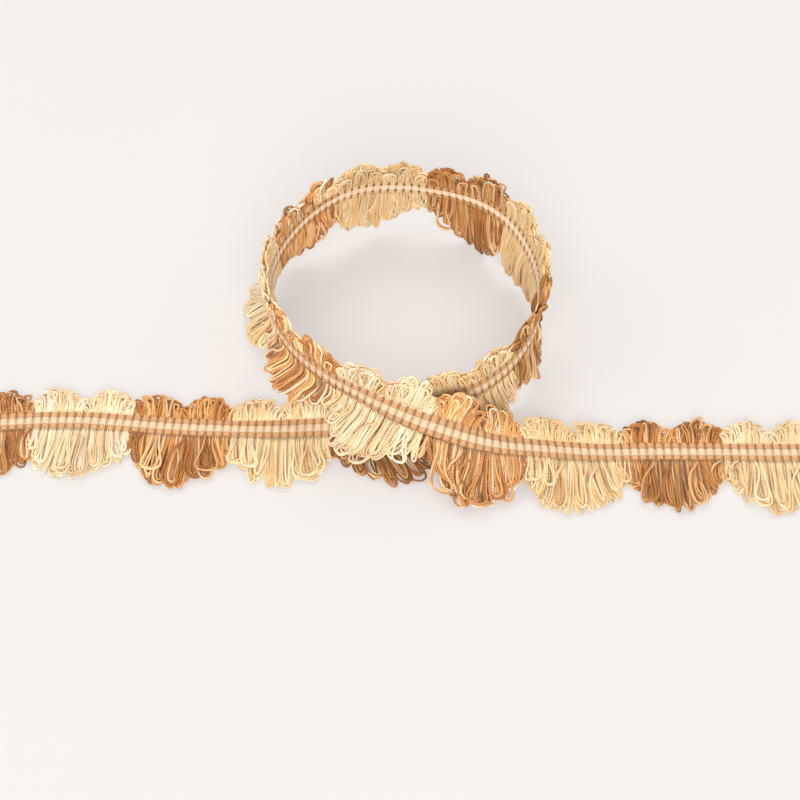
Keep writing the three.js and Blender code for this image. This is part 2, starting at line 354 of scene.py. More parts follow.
def bundles(chance, out_rib, back_rib, root, reach, drift, leaf, roll, layer, root_height,
            yarns, stops):
    """Nested loops of yarn, which leave the heading at one rib and come back at another.

    The arrays hold one value for each loop: its ribs, its reach from the heading's middle, how
    far its tip drifts along the length, its half width, its roll about its own line and its
    height off the drape. The result is where each yarn's stops are: along the length, out from
    the heading's middle and off the drape.
    """
    nest = np.tile(np.arange(yarns), len(out_rib))[:, None]
    given = (out_rib, back_rib, reach, drift, leaf, roll, layer)
    each = [np.repeat(values, yarns)[:, None] for values in given]
    out_rib, back_rib, reach, drift, leaf, roll, layer = each
    count = len(nest)
    t = np.linspace(0, 1, stops)[None, :]
    out, turn = np.sin(np.pi * t), np.cos(np.pi * t)
    bulb = LOOP_BULB * np.sin(2 * np.pi * t) * out ** 2
    inset = nest * LEG_SPACING
    spacing = ROOT_SPACING + (LEG_SPACING - ROOT_SPACING) * smooth(out * 3)
    half_gap = (back_rib - out_rib) / 2 * RIB_PITCH + ((yarns - 1) / 2 - nest) * spacing
    half_leaf = np.maximum(leaf - inset * NEST_NARROWER, NARROWEST_LEAF)
    half_leaf = half_leaf * chance.uniform(*LEAF_SPREAD, (count, 1))
    wave = np.sin(2 * np.pi * out * chance.uniform(*SWAY_WAVES, (count, 1)))
    sway = chance.normal(0, SWAY, (count, 1)) * MM * wave
    stray = chance.normal(0, STRAY, (count, 1)) * MM * out ** 1.5
    spread = -half_gap * turn - half_leaf * bulb + sway
    tilt = roll * smooth(out * 1.6)
    middle = (out_rib + back_rib) / 2 * RIB_PITCH
    along = middle + spread * np.cos(tilt) + drift * out ** 1.5 + stray
    own_reach = (reach - root - inset * NEST_SHORTER) * chance.uniform(*REACH_SPREAD, (count, 1))
    away = root + own_reach * out
    height = root_height * (1 - out) ** 4 + layer * smooth(out * 2) + spread * np.sin(tilt)
    return along, away, height + chance.normal(0, LIFT, (count, 1)) * MM * out


def join(*groups):
    """Several groups of loops as one."""
    return [np.concatenate(parts) for parts in zip(*groups)]


def bulge(fraction, notch, reach, power):
    """Reach from the notch on each side to the full one in the middle, fuller for a low power."""
    return notch + (reach - notch) * np.sin(np.pi * np.clip(fraction, 0, 1)) ** power


# In the tables below, fans are counted from 0 at the left end
# How light each fan's yarn is made, beside the common one: partly its own tone, partly painted
# light for how the fan faces the lamps
FAN_TONE_AND_PAINTED_LIGHT = (
    1, 1.02, 1.02, 1.03, 0.97, 0.97, 1, 0.97, 0.93,
    0.92, 1.35, 1.08, 1.52, 1, 1.18, 0.93, 1.03, 0.96,
)
# How light a fan's scallops are made beside the fan, where they differ: partly their own tone,
# partly painted light
SCALLOP_TONE_AND_PAINTED_LIGHT = {14: 1.16}
# How much warmer or paler each fan's yarn is made, partly its own dye and partly painted light
# shining through the yarn, and how much a warmth of 1 takes from each channel
FAN_WARMTH_AND_PAINTED_LIGHT = (
    0.5, -0.5, 1.5, 0.9, 0.6, 1, 1, 1.2, 1.1,
    1.5, -1.2, 0.4, -1.5, -0.2, -1.4, 1.3, 0.3, 0.9,
)
WARMING = np.array([0, 0.045, 0.14])
# The middles of a fan's thirds, as a fraction of its width
THIRDS = (0.17, 0.5, 0.83)
# How full each fan is in its left, middle and right third, beside a full fan
FAN_FULLNESS = (
    (1.0, 1.0, 1.0),
    (1.06, 1.0, 0.88),
    (0.97, 1.06, 0.9),
    (0.95, 1.0, 0.92),
    (0.8, 1.2, 0.95),
    (0.97, 0.97, 0.97),
    (0.9, 0.88, 0.9),
    (1.0, 0.88, 1.05),
    (0.86, 1.08, 0.72),
    (0.62, 0.84, 0.86),
    (0.66, 0.86, 1.0),
    (1.0, 1.12, 1.25),
    (0.92, 0.95, 0.85),
    (0.95, 0.98, 0.76),
    (0.87, 1.0, 0.8),
    (1.0, 1.0, 0.95),
    (0.86, 1.04, 0.88),
    (0.88, 1.02, 1.0),
)
# How far the tips of a fan's thirds lie towards the right end, in millimetres, where it isn't even
TIP_SHIFT = {
    1: (-1.5, -1, 2), 2: (3, -1, 0.5), 3: (2.5, 0.5, 0), 4: (3, 3, 2), 11: (1, 1, 1),
    12: (2, 0.5, -1), 13: (5, 0.5, -4), 14: (9, 1.5, -1.5), 16: (1.5, 0.5, -1), 17: (1.5, 1, 0),
}
# How tall each fan's two scallops are, beside a common one
SCALLOP_FULLNESS = (
    (1.0, 1.0), (1.04, 1.0), (1.0, 1.03), (1.0, 1.0), (1.0, 1.0), (1.1, 1.1),
    (1.0, 1.0), (1.0, 1.0), (1.0, 0.94), (0.98, 1.0), (0.96, 0.96), (1.0, 1.0),
    (1.2, 1.15), (1.05, 1.1), (1.06, 1.0), (1.0, 0.96), (0.98, 1.02), (1.0, 1.0),
)
# Single loops that stand out: fan, side (1 for the fan, -1 for its scallops), rib, and in
# millimetres their reach, how far their tips lie towards the right end, and half their open width
OPEN_LOOPS = (
    (1, 1, 4.5, 27.5, -0.5, 2.6), (1, 1, 6.6, 28.5, 0.5, 2.2), (1, -1, 10.0, 11.5, 0.0, 2.2),
    (2, 1, 3.2, 23.5, 0.3, 2.8), (2, 1, 9.5, 23.5, 0.5, 2.8), (2, -1, 8.6, 12.5, 0.5, 2.8),
    (3, 1, 1.0, 19.0, -0.8, 2.6), (3, 1, 2.2, 20.0, 1.8, 2.4), (3, 1, 9.5, 24.0, 0.0, 2.6),
    (8, 1, 10.2, 22.5, -1.0, 2.2), (8, 1, 5.0, 28.5, 0.0, 0.6), (10, 1, 3.0, 19.0, 0.5, 2.8),
    (13, 1, 1.6, 16.0, 1.5, 2.8), (13, 1, 9.8, 20.0, 1.5, 2.2), (13, -1, 3.4, 14.0, 0.0, 2.4),
    (13, -1, 7.9, 12.5, 0.0, 2.4), (14, 1, 2.4, 26.0, 5.5, 3.0), (14, 1, 7.2, 29.0, 0.5, 2.6),
    (14, -1, 2.0, 15.0, 0.0, 2.4), (14, -1, 3.8, 15.0, 0.5, 2.4), (14, -1, 7.7, 14.0, 0.0, 2.4),
    (14, -1, 9.2, 14.0, 0.0, 2.2), (15, 1, 0.9, 15.5, -0.4, 1.6), (15, 1, 2.4, 18.0, 0.4, 1.6),
    (15, -1, 1.5, 13.0, 0.0, 2.8), (15, -1, 7.4, 13.0, 0.0, 2.2), (16, 1, 3.0, 27.0, -1.0, 2.2),
    (17, 1, 4.0, 27.0, 0.5, 2.4),
)
# How far their two ends lie from their rib, in ribs, and their height off the drape, in millimetres
OPEN_HALF_GAP = 0.35
OPEN_HEIGHT = 1.7
# Fans whose reverse faces the front
SEEN_FROM_BEHIND = (7, 8, 9, 10, 11)
# Fans whose yarn shows on both faces
STANDING = (5, 6, 7, 8, 9, 10, 11, 12, 13)
# Where their hind layers leave the heading's reverse
HIND_ROOT = 3.4 * MM
# Heights off the drape at the heading's face and its reverse, in millimetres
FRONT_HEIGHT = 0.62
HIND_HEIGHT = -0.85
# Points along one yarn of each kind
FAN_STOPS = 26
SCALLOP_STOPS = 20
# The layers of a fan: first rib, loops, yarns in each, height off the drape in millimetres, reach
# beside a full fan, height at the heading in millimetres, and looseness of its loops, up to 1
FAN_LAYERS = (
    (0.5, 6, 4, -1.2, 0.90, -0.3, 0.1),
    (1.5, 5, 4, -0.6, 0.97, -0.2, 0.3),
    (0.5, 6, 3, 0.1, 1.0, FRONT_HEIGHT, 0.7),
    (1.5, 5, 3, 0.8, 0.94, FRONT_HEIGHT, 1.0),
)
# The layers of a scallop, in the same order but for two more columns after the loops: the ribs
# from one loop to the next and the ribs that each loop spans
SCALLOP_LAYERS = (
    (0.5, 3, 2.0, 1.0, 4, -0.9, 0.90, -0.3, 0.2),
    (1.5, 2, 2.0, 1.0, 4, -0.4, 0.98, 0.3, 0.5),
    (0.35, 6, 0.96, 0.5, 2, 0.5, 1.0, FRONT_HEIGHT, 0.8),
    (0.8, 5, 0.98, 0.5, 2, 1.1, 0.95, FRONT_HEIGHT, 1.0),
)
# The round shape of a fan and of a scallop, as the power that their reach rises with
FAN_ROUNDNESS = 0.68
SCALLOP_ROUNDNESS = 1.05
# How far the tips splay towards the sides, and how near to a fan's side they may come
FAN_SPLAY = 4.8 * MM
SCALLOP_SPLAY = 2.4 * MM
FAN_MARGIN = 2.0 * MM
# How single loops differ: reach, half width (narrowest, widest when tight, more when loose), stray
# of the tip, height off the drape, both in millimetres, and roll in degrees
FAN_LOOP_REACH = (0.93, 1.04)
SCALLOP_LOOP_REACH = (0.94, 1.05)
FAN_LEAF = (-0.2, 0.6, 1.6)
SCALLOP_LEAF = (0.7, 1.2, 0.6)
FAN_STRAY = 1.2
SCALLOP_STRAY = 0.8
FAN_UNEVEN = 0.2
SCALLOP_UNEVEN = 0.9
FAN_ROLL = 28
SCALLOP_ROLL = 16
# The share of a loose fan's loops that lie turned over, and its longest loop beside a full fan
TURNED_OVER = 0.15
FAN_LONGEST = 1.06
# The narrow loops at a fan's sides: how far their ends lie from their rib, in ribs, what they
# reach past the notch, how their reach and half width differ, and their height off the drape
SIDE_HALF_GAP = 0.12
SIDE_EXTRA_REACH = 1.5 * MM
SIDE_LOOP_REACH = (0.92, 1.05)
SIDE_LEAF = (0.4, 1.2)
SIDE_HEIGHT = 0.5
FAN_SIDE_SPLAY = 0.9 * MM
SCALLOP_SIDE_SPLAY = 0.3 * MM


def fan_layer(chance, fan, first_rib, count, yarns, layer, share, root_height, loose):
    """Loops of one layer of a fan, one for every two ribs, splayed towards the fan's sides."""
    hind = fan in STANDING and layer < 0
    root = HIND_ROOT if hind else FAN_ROOT
    root_height = HIND_HEIGHT if hind else root_height
    out_rib = first_rib + 2.0 * np.arange(count)
    fraction = (out_rib + 0.5) / RIBS_PER_FAN
    offset = 2 * fraction - 1
    splay = FAN_SPLAY * offset * (1 - np.abs(offset) ** 4)
    drift = splay + loose * chance.normal(0, FAN_STRAY, count) * MM
    inside = (out_rib + 0.5) * RIB_PITCH
    drift = np.clip(drift, FAN_MARGIN - inside, FAN_PITCH - FAN_MARGIN - inside)
    drift = drift + np.interp(fraction, THIRDS, TIP_SHIFT.get(fan, (0, 0, 0))) * MM
    fullness = np.interp(fraction, THIRDS, FAN_FULLNESS[fan])
    reach = bulge(fraction, FAN_NOTCH_REACH, FAN_REACH, FAN_ROUNDNESS) * share * fullness
    reach = np.minimum(reach * chance.uniform(*FAN_LOOP_REACH, count), FAN_REACH * FAN_LONGEST)
    narrow, wide, wider = FAN_LEAF
    leaf = chance.uniform(narrow, wide + wider * loose, count) * MM
    roll = np.radians(loose * chance.normal(0, FAN_ROLL, count))
    roll = np.where(chance.uniform(0, 1, count) < TURNED_OVER * loose, np.pi - roll, roll)
    rib = fan * RIBS_PER_FAN + out_rib
    heights = layer * MM + chance.normal(0, FAN_UNEVEN, count) * MM
    return bundles(chance, rib, rib + 1, root, reach, drift, leaf, roll, heights,
                   root_height * MM, yarns, FAN_STOPS)


def scallop_layer(chance, fan, half, first_rib, count, apart, span, yarns, layer, share,
                  root_height, loose):
    """Short round loops of one layer of a scallop, the fan's left one (half 0) or right one (1)."""
    root_height = HIND_HEIGHT if fan in STANDING and layer < 0 else root_height
    out_rib = half * RIBS_PER_FAN / 2 + first_rib + apart * np.arange(count)
    within = ((out_rib + span / 2) / RIBS_PER_FAN * 2) % 1
    reach = bulge(within, SCALLOP_NOTCH_REACH, SCALLOP_REACH, SCALLOP_ROUNDNESS)
    reach = reach * share * SCALLOP_FULLNESS[fan][half]
    reach = reach * chance.uniform(*SCALLOP_LOOP_REACH, count)
    drift = (within - 0.5) * SCALLOP_SPLAY + loose * chance.normal(0, SCALLOP_STRAY, count) * MM
    narrow, wide, wider = SCALLOP_LEAF
    leaf = chance.uniform(narrow, wide + wider * loose, count) * MM
    roll = np.radians(loose * chance.normal(0, SCALLOP_ROLL, count))
    rib = fan * RIBS_PER_FAN + out_rib
    heights = layer * MM + chance.uniform(0, SCALLOP_UNEVEN, count) * MM
    return bundles(chance, rib, rib + span, SCALLOP_ROOT, reach, drift, leaf, roll, heights,
                   root_height * MM, yarns, SCALLOP_STOPS)


def side_loops(chance, fan, root, reach, stops, splay):
    """Narrow loops on a fan's first and last rib, for its own edge or for the scallops'."""
    rib = np.array([0.5, RIBS_PER_FAN - 0.5]) + fan * RIBS_PER_FAN
    reach = (reach + SIDE_EXTRA_REACH) * chance.uniform(*SIDE_LOOP_REACH, 2)
    drift = np.array([-splay, splay])
    leaf = chance.uniform(*SIDE_LEAF, 2) * MM
    flat = np.zeros(2)
    return bundles(chance, rib - SIDE_HALF_GAP, rib + SIDE_HALF_GAP, root, reach, drift, leaf,
                   flat, flat + SIDE_HEIGHT * MM, FRONT_HEIGHT * MM, 2, stops)


def open_loops(chance, fan, side, root, stops):
    """The fan's loops that stand out, of two yarns each, on top of the others."""
    own = np.array([row[2:] for row in OPEN_LOOPS if row[:2] == (fan, side)]).reshape(-1, 4)
    rib, reach, drift, leaf = own.T
    rib = rib + fan * RIBS_PER_FAN
    flat = np.zeros(len(rib))
    face = -1 if fan in SEEN_FROM_BEHIND else 1
    return bundles(chance, rib - OPEN_HALF_GAP, rib + OPEN_HALF_GAP, root, reach * MM, drift * MM,
                   leaf * MM, flat, flat + face * OPEN_HEIGHT * MM, face * FRONT_HEIGHT * MM,
                   2, stops)


def fan_loops(fan, chance):
    """A fan's loops in layers: long in the middle and short at its notches."""
    layers = [fan_layer(chance, fan, *layer) for layer in FAN_LAYERS]
    sides = side_loops(chance, fan, FAN_ROOT, FAN_NOTCH_REACH, FAN_STOPS, FAN_SIDE_SPLAY)
    return join(*layers, sides, open_loops(chance, fan, 1, FAN_ROOT, FAN_STOPS))


def scallop_loops(fan, chance):
    """The loops of the upper edge, in two short scallops to a fan."""
    layers = []
    for layer in SCALLOP_LAYERS:
        for half in (0, 1):
            layers.append(scallop_layer(chance, fan, half, *layer))
    sides = side_loops(chance, fan, SCALLOP_ROOT, SCALLOP_NOTCH_REACH, SCALLOP_STOPS,
                       SCALLOP_SIDE_SPLAY)
    return join(*layers, sides, open_loops(chance, fan, -1, SCALLOP_ROOT, SCALLOP_STOPS))


# Materials
SPECULAR = 0.25
SHEEN_TINT = (1.0, 0.85, 0.62, 1)
SHEEN_ROUGHNESS = 0.45


def principled(name, roughness, sheen):
    """A material with its node tree and its shader."""
    material = bpy.data.materials.new(name)
    material.use_nodes = True
    tree = material.node_tree
    shader = tree.nodes["Principled BSDF"]
    shader.inputs["Roughness"].default_value = roughness
    shader.inputs["Specular IOR Level"].default_value = SPECULAR
    shader.inputs["Sheen Weight"].default_value = sheen
    shader.inputs["Sheen Tint"].default_value = SHEEN_TINT
    shader.inputs["Sheen Roughness"].default_value = SHEEN_ROUGHNESS
    return material, tree, shader


def add_node(tree, kind, **inputs):
    """A new node with values for its inputs."""
    node = tree.nodes.new(kind)
    for name, value in inputs.items():
        node.inputs[name].default_value = value
    return node


def noise(tree, scale, **inputs):
    """Noise in the piece's own space, with the scale per metre."""
    texture = add_node(tree, "ShaderNodeTexNoise", Scale=scale, **inputs)
    coords = tree.nodes.new("ShaderNodeTexCoord")
    tree.links.new(coords.outputs["Object"], texture.inputs["Vector"])
    return texture.outputs["Fac"]


def yarn_uv(tree):
    """The two values of the uv map."""
    uv = tree.nodes.new("ShaderNodeUVMap")
    uv.uv_map = "yarn"
    split = tree.nodes.new("ShaderNodeSeparateXYZ")
    tree.links.new(uv.outputs[0], split.inputs[0])
    return split.outputs[0], split.outputs[1]


RELIEF_STRENGTH = 0.5
RELIEF_DEPTH = 0.16 * MM


def link_surface(tree, shader, colour, relief):
    """Links a colour and a relief to the shader."""
    bump = add_node(tree, "ShaderNodeBump", Strength=RELIEF_STRENGTH, Distance=RELIEF_DEPTH)
    tree.links.new(relief, bump.inputs["Height"])
    tree.links.new(colour, shader.inputs["Base Color"])
    tree.links.new(bump.outputs[0], shader.inputs["Normal"])


def arithmetic(tree, operation, first, second=0.0):
    """A math node's result, for numbers or sockets."""
    node = tree.nodes.new("ShaderNodeMath")
    node.operation = operation
    for socket, value in zip(node.inputs, (first, second)):
        if isinstance(value, (int, float)):
            socket.default_value = value
        else:
            tree.links.new(value, socket)
    return node.outputs[0]


def scaled(tree, value, factor, start):
    """The value times a factor, counted from a start."""
    result = arithmetic(tree, "MULTIPLY_ADD", value, factor)
    result.node.inputs[2].default_value = start
    return result


def ramp(tree, value, low, high):
    """A soft step from 0 at low to 1 at high."""
    step = tree.nodes.new("ShaderNodeMapRange")
    step.interpolation_type = "SMOOTHSTEP"
    tree.links.new(value, step.inputs["Value"])
    step.inputs["From Min"].default_value = low
    step.inputs["From Max"].default_value = high
    return step.outputs["Result"]


def stripe(tree, value, low, high, soft):
    """1 where the value is between low and high, with soft edges."""
    rise = ramp(tree, value, low - soft / 2, low + soft / 2)
    fall = ramp(tree, value, high + soft / 2, high - soft / 2)
    return arithmetic(tree, "MULTIPLY", rise, fall)


def colour_mix(tree, share, first, second, blend="MIX"):
    """The first colour where the share is 0 and the second where it is 1."""
    mix = tree.nodes.new("ShaderNodeMix")
    mix.data_type = "RGBA"
    mix.blend_type = blend
    for name, value in (("Factor", share), ("A", first), ("B", second)):
        socket = mix.inputs[name]
        if isinstance(value, tuple):
            socket.default_value = (*value, 1)
        elif isinstance(value, (int, float)):
            socket.default_value = value
        else:
            tree.links.new(value, socket)
    return mix.outputs["Result"]


YARN_ROUGHNESS = 0.7
YARN_SHEEN = 0.06
# Noise scales of the fine fibres and of the thick and thin places, per metre
YARN_FIBRES = 2600.0
YARN_SLUBS = 190.0
# How far the plies, slubs and fibres lighten a yarn, and the shade that each starts from; the
# plies' part is painted shade in their grooves
PLY_SHADING = (0.34, 0.72)
SLUB_SHADING = (0.35, 0.84)
FIBRE_SHADING = (0.5, 0.76)
FIBRE_DETAIL = {"Detail": 4.0, "Roughness": 0.7}
PATCH_DETAIL = {"Detail": 2.0}


def yarn_material(name):
    """Spun yarn: its own tint, plies turning about each other with painted shade in their grooves,
    and fine fibres.
    """
    material, tree, shader = principled(name, YARN_ROUGHNESS, YARN_SHEEN)
    tint = tree.nodes.new("ShaderNodeVertexColor")
    tint.layer_name = "tint"
    around, lengthways = yarn_uv(tree)
    around = arithmetic(tree, "MULTIPLY", around, PLIES)
    lengthways = arithmetic(tree, "MULTIPLY", lengthways, PLIES * PLY_TURNS_PER_METRE * MM)
    phase = arithmetic(tree, "SUBTRACT", around, lengthways)
    wave = arithmetic(tree, "COSINE", arithmetic(tree, "MULTIPLY", phase, 2 * math.pi))
    ply = scaled(tree, wave, 0.5, 0.5)
    fibre = noise(tree, YARN_FIBRES, **FIBRE_DETAIL)
    slub = noise(tree, YARN_SLUBS, **PATCH_DETAIL)
    # The plies' grooves are darkened: painted shade between the plies
    painted_ply_shade = scaled(tree, ply, *PLY_SHADING)
    patchy = scaled(tree, slub, *SLUB_SHADING)
    grain = scaled(tree, fibre, *FIBRE_SHADING)
    shade = arithmetic(tree, "MULTIPLY", arithmetic(tree, "MULTIPLY", painted_ply_shade, patchy), grain)
    colour = colour_mix(tree, 1.0, tint.outputs["Color"], shade, "MULTIPLY")
    link_surface(tree, shader, colour, arithmetic(tree, "ADD", ply, fibre))
    return material


# Heading colours, linear; the dip and gap colours are painted shade between the ribs
CREAM_FLOAT = (0.79, 0.565, 0.375)
CREAM_DIP_PAINTED_SHADE = (0.54, 0.37, 0.22)
TAN_RIB = (0.61, 0.34, 0.165)
TAN_GAP_PAINTED_SHADE = (0.35, 0.17, 0.074)
CREAM_EDGE = (0.88, 0.68, 0.43)
CREAM_EDGE_GAP_PAINTED_SHADE = (0.55, 0.36, 0.17)
CARAMEL_EDGE = (0.62, 0.33, 0.13)
BACK_EDGE = (0.76, 0.53, 0.29)
BACK_LINE = (0.90, 0.70, 0.51)
BACK_DIP_PAINTED_SHADE = (0.74, 0.53, 0.36)
BACK_GAP_PAINTED_SHADE = (0.24, 0.10, 0.04)
# The uv map's width is in millimetres from the heading's middle, and this much more on the reverse
BACK_SHIFT = 20.0
# The tan bands' outer edges, in millimetres from the middle: beyond them the fringe's yarn shows
TAN_START = -3.5
TAN_END = 5.0
# The reverse's cream line and the dashes at its sides, which are the darkest painted shade between
# the ribs, in millimetres from the middle
BACK_LINE_START = -1.1
BACK_LINE_END = 1.4
DASHES_START = -2.5
DASHES_END = 2.8
# How much of the dashes' dark brown painted shade the gaps beyond them get
GAP_SHARE = 0.45
# Where a rib starts and ends in its own pitch
RIB_START = 0.17
RIB_END = 0.83
# Thin dark borders of the cream band: outside it, inside it and their softness, in millimetres
BORDER_OUT = 0.2
BORDER_IN = 0.1
BORDER_SOFT = 0.2
# Softness of the other edges, in ribs for a rib and in millimetres for the rest
RIB_SOFT = 0.14
BACK_SOFT = 0.1
CREAM_SOFT = 0.25
TAN_SOFT = 0.8
LINE_SOFT = 0.3
DASHES_SOFT = 0.4
# The warp threads' pitch in millimetres, the strands in each rib, and how high both stand
THREAD_PITCH = 0.55
STRANDS_PER_RIB = 4
THREAD_RELIEF = 0.5
HEADING_ROUGHNESS = 0.75
HEADING_FIBRES = 2400.0
HEADING_PATCHES = 420.0
# How far each kind of detail changes the shade, and the shade that it starts from; the threads' and
# strands' part is painted shade in their grooves and painted light on their crests
THREAD_SHADING = (0.09, 1.0)
STRAND_SHADING = (0.08, 1.0)
GRAIN_SHADING = (0.4, 0.8)
PATCH_SHADING = (0.4, 0.8)
BORDER_SHADING = (-0.22, 1.0)


def heading_material():
    """Woven heading: cream floats between tan bands, with ribs, fine warp threads and fibres,
    painted shade between the ribs and in the threads' grooves.
    """
    material, tree, shader = principled("heading_yarn", HEADING_ROUGHNESS, YARN_SHEEN)
    ribs, width = yarn_uv(tree)
    band_start, band_end = CREAM_BAND_START / MM, CREAM_BAND_END / MM
    rib = stripe(tree, arithmetic(tree, "FRACT", ribs), RIB_START, RIB_END, RIB_SOFT)
    back = stripe(tree, width, BACK_SHIFT / 2, 2 * BACK_SHIFT, BACK_SOFT)
    cream = stripe(tree, width, band_start, band_end, CREAM_SOFT)
    low = stripe(tree, width, band_start - BORDER_OUT, band_start + BORDER_IN, BORDER_SOFT)
    high = stripe(tree, width, band_end - BORDER_IN, band_end + BORDER_OUT, BORDER_SOFT)
    borders = arithmetic(tree, "ADD", low, high)
    centre = stripe(tree, width, TAN_START, TAN_END, TAN_SOFT)
    number = arithmetic(tree, "FLOOR", arithmetic(tree, "DIVIDE", ribs, float(RIBS_PER_FAN)))
    is_cream = arithmetic(tree, "MODULO", number, 2.0)
    edge = colour_mix(tree, is_cream, CARAMEL_EDGE, CREAM_EDGE)
    tan = colour_mix(tree, centre, edge, TAN_RIB)
    # Between the ribs the bands take a darker colour: painted shade
    painted_gap_shade = colour_mix(tree, centre, colour_mix(tree, is_cream, TAN_GAP_PAINTED_SHADE, CREAM_EDGE_GAP_PAINTED_SHADE), TAN_GAP_PAINTED_SHADE)
    band = colour_mix(tree, rib, painted_gap_shade, tan)
    # Between the ribs the cream floats dip into painted shade
    floats = colour_mix(tree, rib, CREAM_DIP_PAINTED_SHADE, CREAM_FLOAT)
    front = colour_mix(tree, cream, band, floats)
    line_start, line_end = BACK_SHIFT + BACK_LINE_START, BACK_SHIFT + BACK_LINE_END
    line = stripe(tree, width, line_start, line_end, LINE_SOFT)
    dashes_start, dashes_end = BACK_SHIFT + DASHES_START, BACK_SHIFT + DASHES_END
    dashes = stripe(tree, width, dashes_start, dashes_end, DASHES_SOFT)
    hind_edge = colour_mix(tree, is_cream, CARAMEL_EDGE, BACK_EDGE)
    # On the reverse the gaps between the ribs get painted shade, darkest in the dashes beside the
    # line
    outer_gap_shade = colour_mix(tree, GAP_SHARE, hind_edge, BACK_GAP_PAINTED_SHADE)
    painted_groove_shade = colour_mix(tree, dashes, outer_gap_shade, BACK_GAP_PAINTED_SHADE)
    # The line's beads dip into painted shade between the ribs
    beads = colour_mix(tree, rib, BACK_DIP_PAINTED_SHADE, BACK_LINE)
    reverse = colour_mix(tree, line, colour_mix(tree, rib, painted_groove_shade, hind_edge), beads)
    colour = colour_mix(tree, back, front, reverse)
    fibre = noise(tree, HEADING_FIBRES, **FIBRE_DETAIL)
    patch = noise(tree, HEADING_PATCHES, **PATCH_DETAIL)
    turns = 2 * math.pi
    threads = arithmetic(tree, "SINE", arithmetic(tree, "MULTIPLY", width, turns / THREAD_PITCH))
    strands = arithmetic(tree, "MULTIPLY", ribs, turns * STRANDS_PER_RIB)
    strands = arithmetic(tree, "COSINE", strands)
    shades = 1.0
    # The threads and strands darken their grooves and lighten their crests: painted shade and
    # painted light
    for value, shading in ((threads, THREAD_SHADING), (strands, STRAND_SHADING),
                           (fibre, GRAIN_SHADING), (patch, PATCH_SHADING),
                           (borders, BORDER_SHADING)):
        shades = arithmetic(tree, "MULTIPLY", scaled(tree, value, *shading), shades)
    relief = arithmetic(tree, "ADD", arithmetic(tree, "MULTIPLY", threads, THREAD_RELIEF), fibre)
    relief = arithmetic(tree, "ADD", relief, arithmetic(tree, "MULTIPLY", strands, THREAD_RELIEF))
    link_surface(tree, shader, colour_mix(tree, 1.0, colour, shades, "MULTIPLY"), relief)
    return material


# Heading: a ribbed woven strip, with raised cream floats between two tan bands
HEADING_STEPS_PER_RIB = 8
FRONT_STOPS = 20
BACK_STOPS = 11
# The width over which a rib falls, in its own pitch, and over which a band falls
RIB_FALL = 0.3
BAND_FALL = 0.5 * MM
# How square the heading's edges are
EDGE_POWER = 8
# Heights over the middle surface and what a rib adds, in millimetres: tan bands, cream band over
# them, and reverse, with what its line adds
TAN_HEIGHT = (0.2, 0.5)
CREAM_HEIGHT = (0.2, 0.25)
BACK_HEIGHT = (0.5, 0.3, 0.2)
# Where it comes down from the ring it is cupped, and so a little narrower: its start and end, in
# fans, the fans over which it comes in and goes out, and the share of the width that it takes
CUP_START = 12
CUP_END = 15.2
CUP_IN = 1.5
CUP_OUT = 1.0
CUP_SHARE = 0.1


def pillow(x, low, high, edge):
    """1 between low and high, falling smoothly to 0 over the edge's width on each side."""
    return smooth((x - low + edge / 2) / edge) * smooth((high + edge / 2 - x) / edge)


def heading_piece(material):
    """The heading's front and reverse as one closed strip, with a uv of ribs and width."""
    steps = FAN_COUNT * RIBS_PER_FAN * HEADING_STEPS_PER_RIB
    place = np.linspace(0, FAN_COUNT, steps + 1)
    ribs = place * RIBS_PER_FAN
    rib = pillow(ribs % 1, RIB_START, RIB_END, RIB_FALL)[:, None]
    half = HEADING_WIDTH / 2
    front = np.linspace(-half, half, FRONT_STOPS)[None, :]
    back = np.linspace(half, -half, BACK_STOPS)[None, :]
    cream = pillow(front, CREAM_BAND_START, CREAM_BAND_END, BAND_FALL)
    tan_height = (TAN_HEIGHT[0] + TAN_HEIGHT[1] * rib) * (1 - np.abs(front / half) ** EDGE_POWER)
    front_height = (tan_height + cream * (CREAM_HEIGHT[0] + CREAM_HEIGHT[1] * rib)) * MM
    line = pillow(back, BACK_LINE_START * MM, BACK_LINE_END * MM, BAND_FALL)
    back_height = -(BACK_HEIGHT[0] + BACK_HEIGHT[1] * rib + BACK_HEIGHT[2] * line)
    back_height = back_height * (1 - np.abs(back / half) ** EDGE_POWER) * MM
    heights = np.concatenate([front_height, back_height], 1)
    offsets = np.concatenate([np.broadcast_to(front, front_height.shape),
                              np.broadcast_to(back, back_height.shape)], 1)
    widths = offsets / MM + np.where(np.arange(offsets.shape[1]) < FRONT_STOPS, 0.0, BACK_SHIFT)
    cupped = smooth((place - CUP_START) / CUP_IN) * smooth((CUP_END - place) / CUP_OUT)
    offsets = offsets * (1 - CUP_SHARE * cupped)[:, None]
    middle, along, outward, upward = frame_at(place)
    side = across(outward, upward, column("lean", place))
    face = np.cross(side, along)
    points = middle[:, None] + side[:, None] * offsets[..., None]
    points = points + face[:, None] * heights[..., None]
    points[..., 2] = np.maximum(points[..., 2], 0)
    rows, ring = points.shape[:2]
    uv = np.stack([np.broadcast_to(ribs[:, None], (rows, ring)), widths], -1).reshape(-1, 2)
    row = np.arange(rows - 1)[:, None] * ring
    corner = np.arange(ring)[None, :]
    following = (corner + 1) % ring
    walls = [row + ring + corner, row + ring + following, row + following, row + corner]
    walls = np.stack(walls, -1).reshape(-1, 4)
    ends = np.stack([np.arange(ring), (rows - 1) * ring + np.arange(ring)[::-1]])
    return mesh_object("heading_weave", points.reshape(-1, 3), [walls, ends], material, uv=uv)


